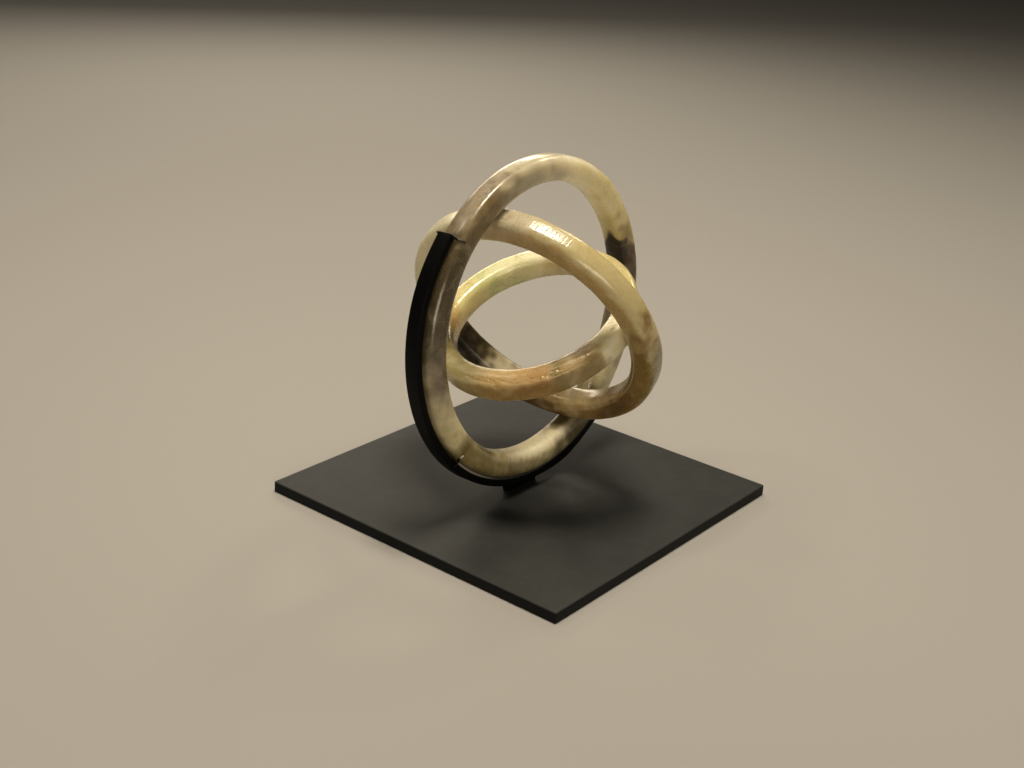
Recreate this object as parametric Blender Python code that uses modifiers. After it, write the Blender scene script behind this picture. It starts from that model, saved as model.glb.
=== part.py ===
"""Three interlocking jade rings in a metal cradle on a square base plate.

The rings share one centre. Each smaller ring was carved inside the hole of the next, so it
turns freely there and can't come out. The outer ring stands upright in a bent metal strip,
leaning back a little, and the strip stands on a low foot in the middle of the plate.

Metres, +Z up. The origin is the middle of the plate's underside, and X and Y run along the
plate's edges. The outer ring faces -Y.
"""

import math

import bpy
from mathutils import Matrix, Vector

MM = 0.001

# Base plate
PLATE_SIDE = 160.0 * MM
PLATE_THICKNESS = 5.0 * MM
PLATE_CORNER_RADIUS = 0.8 * MM
PLATE_EDGE_BEVEL = 0.5 * MM

# Jade rings. A ring's depth is measured along its radius and its width along its axis.
OUTER_RING_OUTSIDE_RADIUS = 72.2 * MM
OUTER_RING_DEPTH = 11.7 * MM
MIDDLE_RING_DEPTH = 12.2 * MM
INNER_RING_DEPTH = 11.0 * MM
RING_WIDTH = 12.5 * MM
MIDDLE_RING_PLAY = 0.4 * MM
INNER_RING_PLAY = 0.8 * MM
SEAT_GAP = 0.3 * MM

# A ring's section is a rounded square, a superellipse with this exponent.
SECTION_EXPONENT = 3.2
SECTION_POINTS = 16
RING_STEPS = 80

# The way each ring's axis points, as a turn about Z from +X and a rise above level
MIDDLE_RING_AXIS = (math.radians(7.3), math.radians(29.1))
INNER_RING_AXIS = (math.radians(171.7), math.radians(63.6))

# How far each smaller ring has slipped off the middle of the ring round it. Only the part of
# this that runs across the two points where the rings meet is used, so they keep their play.
MIDDLE_RING_SLIP = Vector((0.3, -1.35, 0.2)) * MM
INNER_RING_SLIP = Vector((-0.5, -0.1, -1.0)) * MM

# How the outer ring leans back and is turned about Z
OUTER_RING_LEAN = math.radians(1.9)
OUTER_RING_TURN = math.radians(-0.8)

# The cradle's strip. Its angles run from +X towards +Z, as seen from the front. The point under
# the rings' centre is where the strip is lowest.
CRADLE_X = 0.5 * MM
CRADLE_Y = -0.6 * MM
CRADLE_THICKNESS = 3.2 * MM
CRADLE_WIDTH = 6.8 * MM
CRADLE_START = math.radians(139.3)
CRADLE_END = math.radians(311.0)
CRADLE_EDGE_BEVEL = 0.4 * MM
CRADLE_STEPS = 48

# The strip is turned a little from the outer ring's plane. Its upper end is bent in to the ring
# over about this angle, and it bulges away from the ring between two angles on the right.
STRIP_TURN = math.radians(-0.8)
UPPER_BEND_ANGLE = math.radians(14.0)
BULGE_START = math.radians(272.0)
BULGE_END = math.radians(304.0)
BULGE_HEIGHT = 1.0 * MM

# The lining lies under the ring, from the lower prongs to just short of the strip's right end.
LINER_THICKNESS = 0.4 * MM
LINER_START = math.radians(227.0)
LINER_END_SETBACK = math.radians(3.0)
LINER_STEPS = 28

# Wire prongs, each bent from the strip's side round the ring's section
PRONG_WIRE_RADIUS = 0.45 * MM
PRONG_FOOT_LENGTH = 2.0 * MM
PRONG_POINTS = 7

# The prongs' places along the strip, how far their tips reach round the ring's section, and how
# far the tips lean towards the strip's upper end
UPPER_PRONG_SETBACK = math.radians(0.4)
UPPER_PRONG_TIP_ANGLE = math.radians(64.0)
UPPER_PRONG_LEAN = math.radians(0.4)
LOWER_PRONG_SETBACK = math.radians(2.0)
LOWER_PRONG_TIP_ANGLE = math.radians(57.0)
LOWER_PRONG_LEAN = math.radians(1.5)

# The foot is a low bar between the plate and the strip.
FOOT_X = -2.0 * MM
FOOT_Y = 1.2 * MM
FOOT_LENGTH = 20.0 * MM
FOOT_WIDTH = 3.2 * MM
FOOT_HEIGHT = 3.0 * MM

# Points closer than this are one point, and edges sharper than this are softened.
WELD_DISTANCE = 0.05 * MM
SHARP_ANGLE = math.radians(50.0)

# Sizes that follow from the fits
OUTER_RING_HOLE_RADIUS = OUTER_RING_OUTSIDE_RADIUS - OUTER_RING_DEPTH
MIDDLE_RING_OUTSIDE_RADIUS = OUTER_RING_HOLE_RADIUS - MIDDLE_RING_PLAY
MIDDLE_RING_HOLE_RADIUS = MIDDLE_RING_OUTSIDE_RADIUS - MIDDLE_RING_DEPTH
INNER_RING_OUTSIDE_RADIUS = MIDDLE_RING_HOLE_RADIUS - INNER_RING_PLAY
LINER_INSIDE_RADIUS = OUTER_RING_OUTSIDE_RADIUS + SEAT_GAP
LINER_OUTSIDE_RADIUS = LINER_INSIDE_RADIUS + LINER_THICKNESS
CRADLE_INSIDE_RADIUS = LINER_OUTSIDE_RADIUS + SEAT_GAP
CRADLE_OUTSIDE_RADIUS = CRADLE_INSIDE_RADIUS + CRADLE_THICKNESS

# Colours as the surfaces look in plain light, with roughness and metallic value
MATERIALS = {
    "jade_outer": ((0.46, 0.41, 0.25), 0.28, 0.0),
    "jade_middle": ((0.50, 0.41, 0.24), 0.28, 0.0),
    "jade_inner": ((0.58, 0.52, 0.30), 0.26, 0.0),
    "cradle_paint": ((0.012, 0.012, 0.011), 0.45, 0.0),
    "liner_felt": ((0.45, 0.43, 0.38), 0.9, 0.0),
    "prong_wire": ((0.10, 0.07, 0.05), 0.5, 0.0),
    "prong_tip": ((0.72, 0.68, 0.58), 0.4, 0.0),
    "plate_paint": ((0.055, 0.054, 0.050), 0.6, 0.0),
}


def clear_scene():
    for item in list(bpy.data.objects):
        bpy.data.objects.remove(item, do_unlink=True)


def make_collection(name):
    collection = bpy.data.collections.new(name)
    bpy.context.scene.collection.children.link(collection)
    return collection


def make_material(name):
    colour, roughness, metallic = MATERIALS[name]
    material = bpy.data.materials.new(name)
    material.use_nodes = True
    shader = material.node_tree.nodes["Principled BSDF"]
    shader.inputs["Base Color"].default_value = (*colour, 1.0)
    shader.inputs["Roughness"].default_value = roughness
    shader.inputs["Metallic"].default_value = metallic
    return material


def add_object(name, data, collection, matrix, material):
    """Link data as a named object at a place, with one material."""
    item = bpy.data.objects.new(name, data)
    data.materials.append(material)
    collection.objects.link(item)
    item.matrix_world = matrix
    return item


def adopt_primitive(name, collection, material):
    """Name the primitive that was just added, and move it to the model's collection."""
    item = bpy.context.active_object
    item.name = name
    item.data.name = name
    item.data.materials.append(material)
    for owner in list(item.users_collection):
        owner.objects.unlink(item)
    collection.objects.link(item)
    return item


def signed_power(value, exponent):
    return math.copysign(abs(value) ** exponent, value)


def section_point(angle, half_depth, half_width):
    """A point on the rounded-square section, outwards along the radius and along the axis.

    The angle is 0 on the ring's outer face and a right angle on its side.
    """
    power = 2.0 / SECTION_EXPONENT
    outwards = half_depth * signed_power(math.cos(angle), power)
    sideways = half_width * signed_power(math.sin(angle), power)
    return outwards, sideways


def outer_ring_frame():
    """The outer ring's own frame: X to the right, Y up in its plane, Z to the front.

    Its origin is the ring's centre, which stands over the strip's lowest point by the strip's
    outside radius.
    """
    lean = Matrix.Rotation(OUTER_RING_TURN, 4, "Z") @ Matrix.Rotation(-OUTER_RING_LEAN, 4, "X")
    lowest = Vector((CRADLE_X, CRADLE_Y, PLATE_THICKNESS + FOOT_HEIGHT + 2.0 * SEAT_GAP))
    centre = lowest + lean @ Vector((0.0, 0.0, CRADLE_OUTSIDE_RADIUS))
    return Matrix.Translation(centre) @ lean @ Matrix.Rotation(math.radians(90.0), 4, "X")


def strip_radii(angle):
    """The strip's inside and outside radius at an angle."""
    bend = math.exp(-(((angle - CRADLE_START) / UPPER_BEND_ANGLE) ** 2))
    inside = CRADLE_INSIDE_RADIUS + (LINER_INSIDE_RADIUS - CRADLE_INSIDE_RADIUS) * bend
    if BULGE_START < angle < BULGE_END:
        share = (angle - BULGE_START) / (BULGE_END - BULGE_START)
        inside += BULGE_HEIGHT * math.sin(math.pi * share) ** 2
    return inside, inside + CRADLE_THICKNESS


def liner_radii(angle):
    """The lining's inside and outside radius, which are the same at every angle."""
    return LINER_INSIDE_RADIUS, LINER_OUTSIDE_RADIUS


def axis_vector(axis):
    """The unit vector of an axis given as its turn about Z and its rise above level."""
    turn, rise = axis
    return Vector((math.cos(rise) * math.cos(turn), math.cos(rise) * math.sin(turn), math.sin(rise)))


def ring_matrix(centre, axis):
    """The place of a ring, whose own Z runs along its axis."""
    return Matrix.Translation(centre) @ axis.to_track_quat("Z", "Y").to_matrix().to_4x4()


def make_ring(name, outside_radius, depth, matrix, collection, material):
    """A ring turned from its section: the closed section profile with a full Screw."""
    middle_radius = outside_radius - depth / 2.0
    profile = []
    for index in range(SECTION_POINTS):
        angle = -2.0 * math.pi * index / SECTION_POINTS
        outwards, sideways = section_point(angle, depth / 2.0, RING_WIDTH / 2.0)
        profile.append((middle_radius + outwards, 0.0, sideways))
    edges = [(index, (index + 1) % SECTION_POINTS) for index in range(SECTION_POINTS)]
    mesh = bpy.data.meshes.new(name)
    mesh.from_pydata(profile, edges, [])
    ring = add_object(name, mesh, collection, matrix, material)
    screw = ring.modifiers.new("turn", "SCREW")
    screw.axis = "Z"
    screw.angle = 2.0 * math.pi
    screw.steps = RING_STEPS
    screw.render_steps = RING_STEPS
    screw.use_merge_vertices = True
    screw.merge_threshold = WELD_DISTANCE
    screw.use_smooth_shade = True
    return ring


def make_outline(name, points, half_height):
    """A flat closed outline as a 2D curve, thickened to both sides."""
    curve = bpy.data.curves.new(name, "CURVE")
    curve.dimensions = "2D"
    curve.fill_mode = "BOTH"
    curve.extrude = half_height
    spline = curve.splines.new("POLY")
    spline.points.add(len(points) - 1)
    for point, (x, y) in zip(spline.points, points):
        point.co = (x, y, 0.0, 1.0)
    spline.use_cyclic_u = True
    return curve


def add_weld(item):
    """Join a curve's loose caps to its sides."""
    weld = item.modifiers.new("weld", "WELD")
    weld.merge_threshold = WELD_DISTANCE


def add_edge_bevel(item, width):
    """Weld the curve's loose caps, then round the edges that are sharp."""
    add_weld(item)
    bevel = item.modifiers.new("soft edges", "BEVEL")
    bevel.width = width
    bevel.segments = 2
    bevel.limit_method = "ANGLE"
    bevel.angle_limit = SHARP_ANGLE


def make_arc_strip(name, radii, angles, steps, width, matrix, collection, material):
    """A flat strip bent along an arc, between two angles and the two radii at each of them."""
    start, end = angles
    inner_side = []
    outer_side = []
    for index in range(steps + 1):
        angle = start + (end - start) * index / steps
        inside, outside = radii(angle)
        inner_side.append((inside * math.cos(angle), inside * math.sin(angle)))
        outer_side.append((outside * math.cos(angle), outside * math.sin(angle)))
    curve = make_outline(name, outer_side + inner_side[::-1], width / 2.0)
    return add_object(name, curve, collection, matrix, material)


def make_prong(name, angle, tip_angle, lean, side, matrix, collection, material):
    """A wire that leaves the strip's side and follows the ring's section to its tip.

    side is 1 for the front of the cradle and -1 for its back. The strip's side isn't level with
    the ring's plane, so the foot's height is moved by the strip's turn.
    """
    reach = SEAT_GAP + PRONG_WIRE_RADIUS
    half_depth = OUTER_RING_DEPTH / 2.0 + reach
    half_width = RING_WIDTH / 2.0 + reach
    middle_radius = OUTER_RING_OUTSIDE_RADIUS - OUTER_RING_DEPTH / 2.0
    foot_radius = CRADLE_INSIDE_RADIUS + PRONG_FOOT_LENGTH
    foot_shift = -foot_radius * math.cos(angle) * math.sin(STRIP_TURN)
    foot_height = CRADLE_WIDTH / 2.0 + reach + side * foot_shift
    first_angle = math.asin((foot_height / half_width) ** (SECTION_EXPONENT / 2.0))
    path = [(foot_radius, angle, foot_height)]
    for index in range(PRONG_POINTS):
        share = index / (PRONG_POINTS - 1)
        turn = first_angle + (tip_angle - first_angle) * share
        outwards, sideways = section_point(turn, half_depth, half_width)
        path.append((middle_radius + outwards, angle - lean * share, sideways))
    curve = bpy.data.curves.new(name, "CURVE")
    curve.dimensions = "3D"
    curve.bevel_depth = PRONG_WIRE_RADIUS
    curve.bevel_resolution = 2
    curve.use_fill_caps = True
    spline = curve.splines.new("POLY")
    spline.points.add(len(path) - 1)
    for point, (radius, place, height) in zip(spline.points, path):
        point.co = (radius * math.cos(place), radius * math.sin(place), side * height, 1.0)
    return add_object(name, curve, collection, matrix, material)


def make_block(name, size, centre, collection, material):
    """A block of a size round a centre, with its sides along X, Y and Z."""
    bpy.ops.mesh.primitive_cube_add(size=1.0)
    block = adopt_primitive(name, collection, material)
    block.data.transform(Matrix.Translation(centre) @ Matrix.Diagonal((*size, 1.0)))
    return block


def make_foot(collection, material):
    """The low bar between the plate and the strip, with a gap of one seat below and above it."""
    size = (FOOT_LENGTH, FOOT_WIDTH, FOOT_HEIGHT)
    centre = (FOOT_X, FOOT_Y, PLATE_THICKNESS + SEAT_GAP + FOOT_HEIGHT / 2.0)
    foot = make_block("foot", size, centre, collection, material)
    add_edge_bevel(foot, CRADLE_EDGE_BEVEL)


def make_base_plate(collection, material):
    """The square plate, with rounded corners and softened edges."""
    size = (PLATE_SIDE, PLATE_SIDE, PLATE_THICKNESS)
    plate = make_block("base_plate", size, (0.0, 0.0, PLATE_THICKNESS / 2.0), collection, material)
    upright = plate.data.attributes.new("bevel_weight_edge", "FLOAT", "EDGE")
    for edge in plate.data.edges:
        low, high = (plate.data.vertices[index].co for index in edge.vertices)
        upright.data[edge.index].value = 1.0 if abs(low.z - high.z) > PLATE_THICKNESS / 2.0 else 0.0
    corners = plate.modifiers.new("round corners", "BEVEL")
    corners.limit_method = "WEIGHT"
    corners.width = PLATE_CORNER_RADIUS
    corners.segments = 2
    edges = plate.modifiers.new("soft edges", "BEVEL")
    edges.limit_method = "ANGLE"
    edges.angle_limit = SHARP_ANGLE
    edges.width = PLATE_EDGE_BEVEL
    edges.segments = 2


def slipped_centre(centre, slip, axis, axis_inside):
    """A ring's centre after a slip inside the ring round it.

    The two rings' planes cross in a line, and they meet at its two ends, so the slip's part
    along that line is left out.
    """
    meeting_line = axis.cross(axis_inside).normalized()
    return centre + slip - meeting_line * slip.dot(meeting_line)


def make_rings(collection, frame):
    """The three rings, each held in the one round it at the two points where they meet."""
    outer = make_material("jade_outer")
    make_ring("outer_ring", OUTER_RING_OUTSIDE_RADIUS, OUTER_RING_DEPTH, frame, collection, outer)

    outer_axis = frame.to_3x3() @ Vector((0.0, 0.0, 1.0))
    middle_axis = axis_vector(MIDDLE_RING_AXIS)
    middle_centre = slipped_centre(frame.translation, MIDDLE_RING_SLIP, outer_axis, middle_axis)
    middle = make_material("jade_middle")
    place = ring_matrix(middle_centre, middle_axis)
    make_ring("middle_ring", MIDDLE_RING_OUTSIDE_RADIUS, MIDDLE_RING_DEPTH, place, collection, middle)

    inner_axis = axis_vector(INNER_RING_AXIS)
    inner_centre = slipped_centre(middle_centre, INNER_RING_SLIP, middle_axis, inner_axis)
    inner = make_material("jade_inner")
    place = ring_matrix(inner_centre, inner_axis)
    make_ring("inner_ring", INNER_RING_OUTSIDE_RADIUS, INNER_RING_DEPTH, place, collection, inner)


def make_cradle(collection, frame):
    """The bent strip, its lining, its four prongs and its foot."""
    strip_frame = frame @ Matrix.Rotation(STRIP_TURN, 4, "Y")
    paint = make_material("cradle_paint")
    angles = (CRADLE_START, CRADLE_END)
    strip = make_arc_strip(
        "cradle", strip_radii, angles, CRADLE_STEPS, CRADLE_WIDTH, strip_frame, collection, paint
    )
    add_edge_bevel(strip, CRADLE_EDGE_BEVEL)

    felt = make_material("liner_felt")
    angles = (LINER_START, CRADLE_END - LINER_END_SETBACK)
    liner = make_arc_strip(
        "cradle_liner", liner_radii, angles, LINER_STEPS, CRADLE_WIDTH, strip_frame, collection, felt
    )
    add_weld(liner)

    wire = make_material("prong_wire")
    tip = make_material("prong_tip")
    upper = (CRADLE_START + UPPER_PRONG_SETBACK, UPPER_PRONG_TIP_ANGLE, UPPER_PRONG_LEAN)
    lower = (LINER_START - LOWER_PRONG_SETBACK, LOWER_PRONG_TIP_ANGLE, LOWER_PRONG_LEAN)
    for place, side in (("front", 1.0), ("back", -1.0)):
        make_prong("upper_prong_" + place, *upper, side, frame, collection, wire)
        make_prong("lower_prong_" + place, *lower, side, frame, collection, tip)
    make_foot(collection, paint)


def main():
    clear_scene()
    collection = make_collection("jade_rings")
    frame = outer_ring_frame()
    make_rings(collection, frame)
    make_cradle(collection, frame)
    make_base_plate(collection, make_material("plate_paint"))


main()
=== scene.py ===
"""The finished surfaces of three interlocking jade rings, with their cradle and base plate.

The solids of the frame say where everything is. Each visible piece here is a finer surface
worked out from the solid that it stands for, in metres, in the frame's own axes.
"""

import math
from typing import NamedTuple

import bpy
import numpy as np
from bpy.props import FloatProperty, FloatVectorProperty, IntProperty, PointerProperty
from bpy.types import Operator, Panel, PropertyGroup
from mathutils import Matrix, Vector


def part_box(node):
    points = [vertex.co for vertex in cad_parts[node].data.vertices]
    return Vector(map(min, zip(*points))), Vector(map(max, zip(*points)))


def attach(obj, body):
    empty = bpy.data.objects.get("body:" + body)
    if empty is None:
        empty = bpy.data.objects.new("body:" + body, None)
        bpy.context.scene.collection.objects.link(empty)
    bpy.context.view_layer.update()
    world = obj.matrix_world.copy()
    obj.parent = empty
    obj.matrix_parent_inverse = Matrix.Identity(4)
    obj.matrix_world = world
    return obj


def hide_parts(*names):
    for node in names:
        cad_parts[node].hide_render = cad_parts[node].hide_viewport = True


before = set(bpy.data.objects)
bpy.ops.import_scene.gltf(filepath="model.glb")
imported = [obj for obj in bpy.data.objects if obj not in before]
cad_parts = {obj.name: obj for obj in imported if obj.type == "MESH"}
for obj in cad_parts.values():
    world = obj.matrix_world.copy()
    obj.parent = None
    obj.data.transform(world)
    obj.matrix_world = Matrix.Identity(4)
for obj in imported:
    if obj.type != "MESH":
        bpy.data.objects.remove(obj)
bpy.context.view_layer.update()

bl_info = {
    "name": "Interlocking Jade Rings",
    "version": (1, 0, 0),
    "blender": (4, 5, 0),
    "location": "3D View > Sidebar > Jade Rings",
    "description": "Jade rings nested one in another, in a wire-pronged cradle",
    "category": "Add Mesh",
}

MM = 0.001

# A ring's axis is the one of its two directions that points up and to the front.
UP_AND_FRONT = np.array((0.0, -0.3, 1.0))

# Colours of the stone as a painter would name them, from 0 to 255
STONE = {
    "cream": (238, 231, 206), "ivory": (230, 221, 182), "sage": (206, 208, 160),
    "straw": (212, 200, 148), "sand": (198, 186, 144), "honey": (182, 155, 102),
    "ochre": (156, 126, 68), "peach": (190, 160, 112), "taupe": (152, 140, 116),
    "dove": (192, 184, 160), "mushroom": (132, 117, 88), "olive": (144, 130, 82),
    "moss": (112, 98, 56), "bark": (92, 82, 57), "umber": (96, 68, 32),
    "soot": (46, 33, 11),
}


def stone(name):
    """A named colour as light, by the display's own curve."""
    share = np.array(STONE[name]) / 255.0
    return np.where(share <= 0.04045, share / 12.92, ((share + 0.055) / 1.055) ** 2.4)


def node_points(name):
    """The corners of one of the frame's solids, each once."""
    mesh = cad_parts[name].data
    points = np.empty(len(mesh.vertices) * 3, np.float32)
    mesh.vertices.foreach_get("co", points)
    return np.unique(np.round(points.reshape(-1, 3).astype(float), 6), axis=0)


def turn_between(angles, centre):
    """How far each angle is from a centre, in degrees from -180 to 180."""
    return (angles - centre + 180.0) % 360.0 - 180.0


def signed_power(values, exponent):
    return np.sign(values) * np.abs(values) ** exponent


def rise(values, low, high):
    """0 below low and 1 above high, with a smooth S between them."""
    share = np.clip((values - low) / (high - low), 0.0, 1.0)
    return share * share * (3.0 - 2.0 * share)


def span(angles, start, end, soft):
    """1 on the arc from start to end, in degrees, and falling smoothly to 0 past each end."""
    half = (end - start) / 2.0
    away = np.abs(turn_between(angles, start + half))
    return 1.0 - rise(away, half - soft / 2.0, half + soft / 2.0)


def ripple(points, wavelength, seed, waves=14):
    """A smooth random field whose values lie mostly between -1.5 and 1.5.

    It is the sum of plane waves of like length, each with a direction and a start drawn from
    the seed, over the root of their number.
    """
    draw = np.random.default_rng(seed)
    directions = draw.normal(size=(waves, 3))
    directions /= np.linalg.norm(directions, axis=1)[:, None]
    lengths = wavelength * draw.uniform(0.7, 1.5, waves)
    starts = draw.uniform(0.0, 2.0 * math.pi, waves)
    total = np.zeros(points.shape[:-1])
    for direction, length, start in zip(directions, lengths, starts):
        total += np.sin(points @ direction * (2.0 * math.pi / length) + start)
    return total / math.sqrt(waves)


class RingForm:
    """A ring's place and sizes, read from its solid.

    Angles round the ring are in degrees from its highest point. Angles round its section are
    0 on the outer face, 90 on the side that its axis points to, and 180 in the hole.
    """

    def __init__(self, node, centre=None):
        points = node_points(node)
        self.centre = points.mean(axis=0) if centre is None else centre
        axis = np.linalg.eigh(np.cov(points.T))[1][:, 0]
        self.axis = axis * math.copysign(1.0, axis @ UP_AND_FRONT)
        top = np.array((0.0, 0.0, 1.0)) - self.axis * self.axis[2]
        self.top = top / np.linalg.norm(top)
        self.side = np.cross(self.axis, self.top)
        angles, radii, heights = self.polar(points)
        self.outside_radius = radii.max()
        self.middle_radius = (radii.max() + radii.min()) / 2.0
        self.half_depth = (radii.max() - radii.min()) / 2.0
        self.half_width = (heights.max() - heights.min()) / 2.0

    def polar(self, points):
        """Points as degrees round the ring, radius and height along the axis."""
        away = points - self.centre
        across, up = away @ self.side, away @ self.top
        return np.degrees(np.arctan2(across, up)), np.hypot(across, up), away @ self.axis

    def place(self, angles, radii, heights):
        """The points at these degrees round the ring, radii and heights along the axis."""
        turn = np.radians(angles)
        outwards = np.cos(turn)[..., None] * self.top + np.sin(turn)[..., None] * self.side
        around = self.centre + np.asarray(radii)[..., None] * outwards
        return around + np.asarray(heights)[..., None] * self.axis

    def section(self, turns, squareness, reach=0.0):
        """The rounded-square section, outwards and along the axis, at these degrees.

        It is a superellipse: each of the two is its half size times the cosine or sine to the
        power of 2 over the squareness. A reach stands off from the stone.
        """
        power = 2.0 / squareness
        turns = np.radians(turns)
        outwards = (self.half_depth + reach) * signed_power(np.cos(turns), power)
        along = (self.half_width + reach) * signed_power(np.sin(turns), power)
        return outwards, along


# Points on the fine curves along which the steps are measured, and how many degrees a crowded
# stretch takes to fade out
SECTION_SAMPLES = 7201
TURN_SAMPLES = 14401
CROWDING_FADE = 6.0


def even_section(form, squareness, count):
    """The section's angles, in degrees, that part its outline into steps of equal length.

    With them come the length up to each step and the whole outline's length.
    """
    fine = np.linspace(-180.0, 180.0, SECTION_SAMPLES)
    outwards, along = form.section(fine, squareness)
    length = np.append(0.0, np.cumsum(np.hypot(np.diff(outwards), np.diff(along))))
    steps = np.arange(count) / count * length[-1]
    return np.interp(steps, length, fine), steps, length[-1]


def even_turns(count, close_to, half_reach, crowding):
    """Degrees round a ring, with steps that lie closer together near one place.

    The steps' density is 1, plus the crowding inside half_reach of that place.
    """
    fine = np.linspace(-180.0, 180.0, TURN_SAMPLES)
    away = rise(np.abs(fine - close_to), half_reach, half_reach + CROWDING_FADE)
    density = 1.0 + crowding * (1.0 - away)
    total = np.append(0.0, np.cumsum((density[1:] + density[:-1]) / 2.0))
    return np.interp(np.arange(count) / count * total[-1], total, fine)


def grid_quads(rows, columns, closed_rows, closed_columns):
    """The four-sided faces of a grid of points that may close on itself each way."""
    row = np.arange(rows if closed_rows else rows - 1)[:, None]
    column = np.arange(columns if closed_columns else columns - 1)[None, :]
    next_row, next_column = (row + 1) % rows, (column + 1) % columns
    corners = (
        row * columns + column,
        next_row * columns + column,
        next_row * columns + next_column,
        row * columns + next_column,
    )
    return np.stack(np.broadcast_arrays(*corners), axis=-1).reshape(-1, 4)


def make_mesh(name, points, quads, triangles=np.empty((0, 3), int)):
    """A mesh from arrays of points, four-sided and three-sided faces."""
    mesh = bpy.data.meshes.new(name)
    points = np.ascontiguousarray(points.reshape(-1, 3), np.float32)
    loops = np.concatenate((quads.ravel(), triangles.ravel())).astype(np.int32)
    starts = np.concatenate((np.arange(len(quads)) * 4, quads.size + np.arange(len(triangles)) * 3))
    mesh.vertices.add(len(points))
    mesh.vertices.foreach_set("co", points.ravel())
    mesh.loops.add(len(loops))
    mesh.loops.foreach_set("vertex_index", loops)
    mesh.polygons.add(len(starts))
    mesh.polygons.foreach_set("loop_start", starts.astype(np.int32))
    mesh.update(calc_edges=True)
    if mesh.validate():
        raise RuntimeError(name + " has broken faces")
    mesh.shade_smooth()
    return mesh


def store(mesh, name, values):
    """Keep a number for each of a mesh's points, for its material to read."""
    layer = mesh.attributes.new(name, "FLOAT", "POINT")
    layer.data.foreach_set("value", values.astype(np.float32).ravel())


def add_piece(mesh, material, slot, *nodes):
    """Show a mesh in the place of the frame's nodes, with its material. The slot is not used."""
    piece = bpy.data.objects.new(mesh.name, mesh)
    mesh.materials.append(material)
    bpy.context.scene.collection.objects.link(piece)
    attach(piece, "root")
    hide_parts(*nodes)
    return piece


def sweep(name, sections, cap_centres):
    """A closed solid from closed sections in a row, each end shut by a fan to its centre."""
    rows, columns = sections.shape[:2]
    quads = grid_quads(rows, columns, False, True)
    around = np.arange(columns)
    after = (around + 1) % columns
    first = np.full(columns, rows * columns)
    last = first + 1
    base = (rows - 1) * columns
    fans = (np.stack((first, around, after), 1), np.stack((last, base + after, base + around), 1))
    points = np.concatenate((sections.reshape(-1, 3), cap_centres))
    mesh = make_mesh(name, points, quads, np.concatenate(fans))
    middle, beyond = sections[rows // 2], sections[rows // 2 + 1]
    outwards = middle[0] - middle.mean(axis=0)
    if np.cross(beyond[0] - middle[0], middle[1] - middle[0]) @ outwards < 0.0:
        mesh.flip_normals()
    return mesh


# Materials

# A Mix node's sockets go by number, because each kind of data has its own of the same names.
MIX_FACTOR, MIX_FIRST, MIX_SECOND, MIX_RESULT = 0, 6, 7, 2

# Half the height over which the dust on a painted piece gives way to painted shade below
DUST_SHADE_FADE = 0.1 * MM


class Number:
    """A socket that carries a number, so that shader maths reads as plain arithmetic."""

    def __init__(self, finish, socket):
        self.finish = finish
        self.socket = socket

    def maths(self, operation, first, second=0.0):
        node = self.finish.node("ShaderNodeMath", {"operation": operation}, {0: first, 1: second})
        return Number(self.finish, node.outputs[0])

    def __add__(self, other):
        return self.maths("ADD", self, other)

    def __sub__(self, other):
        return self.maths("SUBTRACT", self, other)

    def __rsub__(self, other):
        return self.maths("SUBTRACT", other, self)

    def __mul__(self, other):
        return self.maths("MULTIPLY", self, other)

    __radd__ = __add__
    __rmul__ = __mul__

    def size(self):
        return self.maths("ABSOLUTE", self)

    def rise(self, low, high):
        """0 below low and 1 above high, with a smooth S between them."""
        sockets = {"Value": self, "From Min": low, "From Max": high, "To Min": 0.0, "To Max": 1.0}
        node = self.finish.node("ShaderNodeMapRange", {"interpolation_type": "SMOOTHSTEP"}, sockets)
        return Number(self.finish, node.outputs["Result"])


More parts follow.
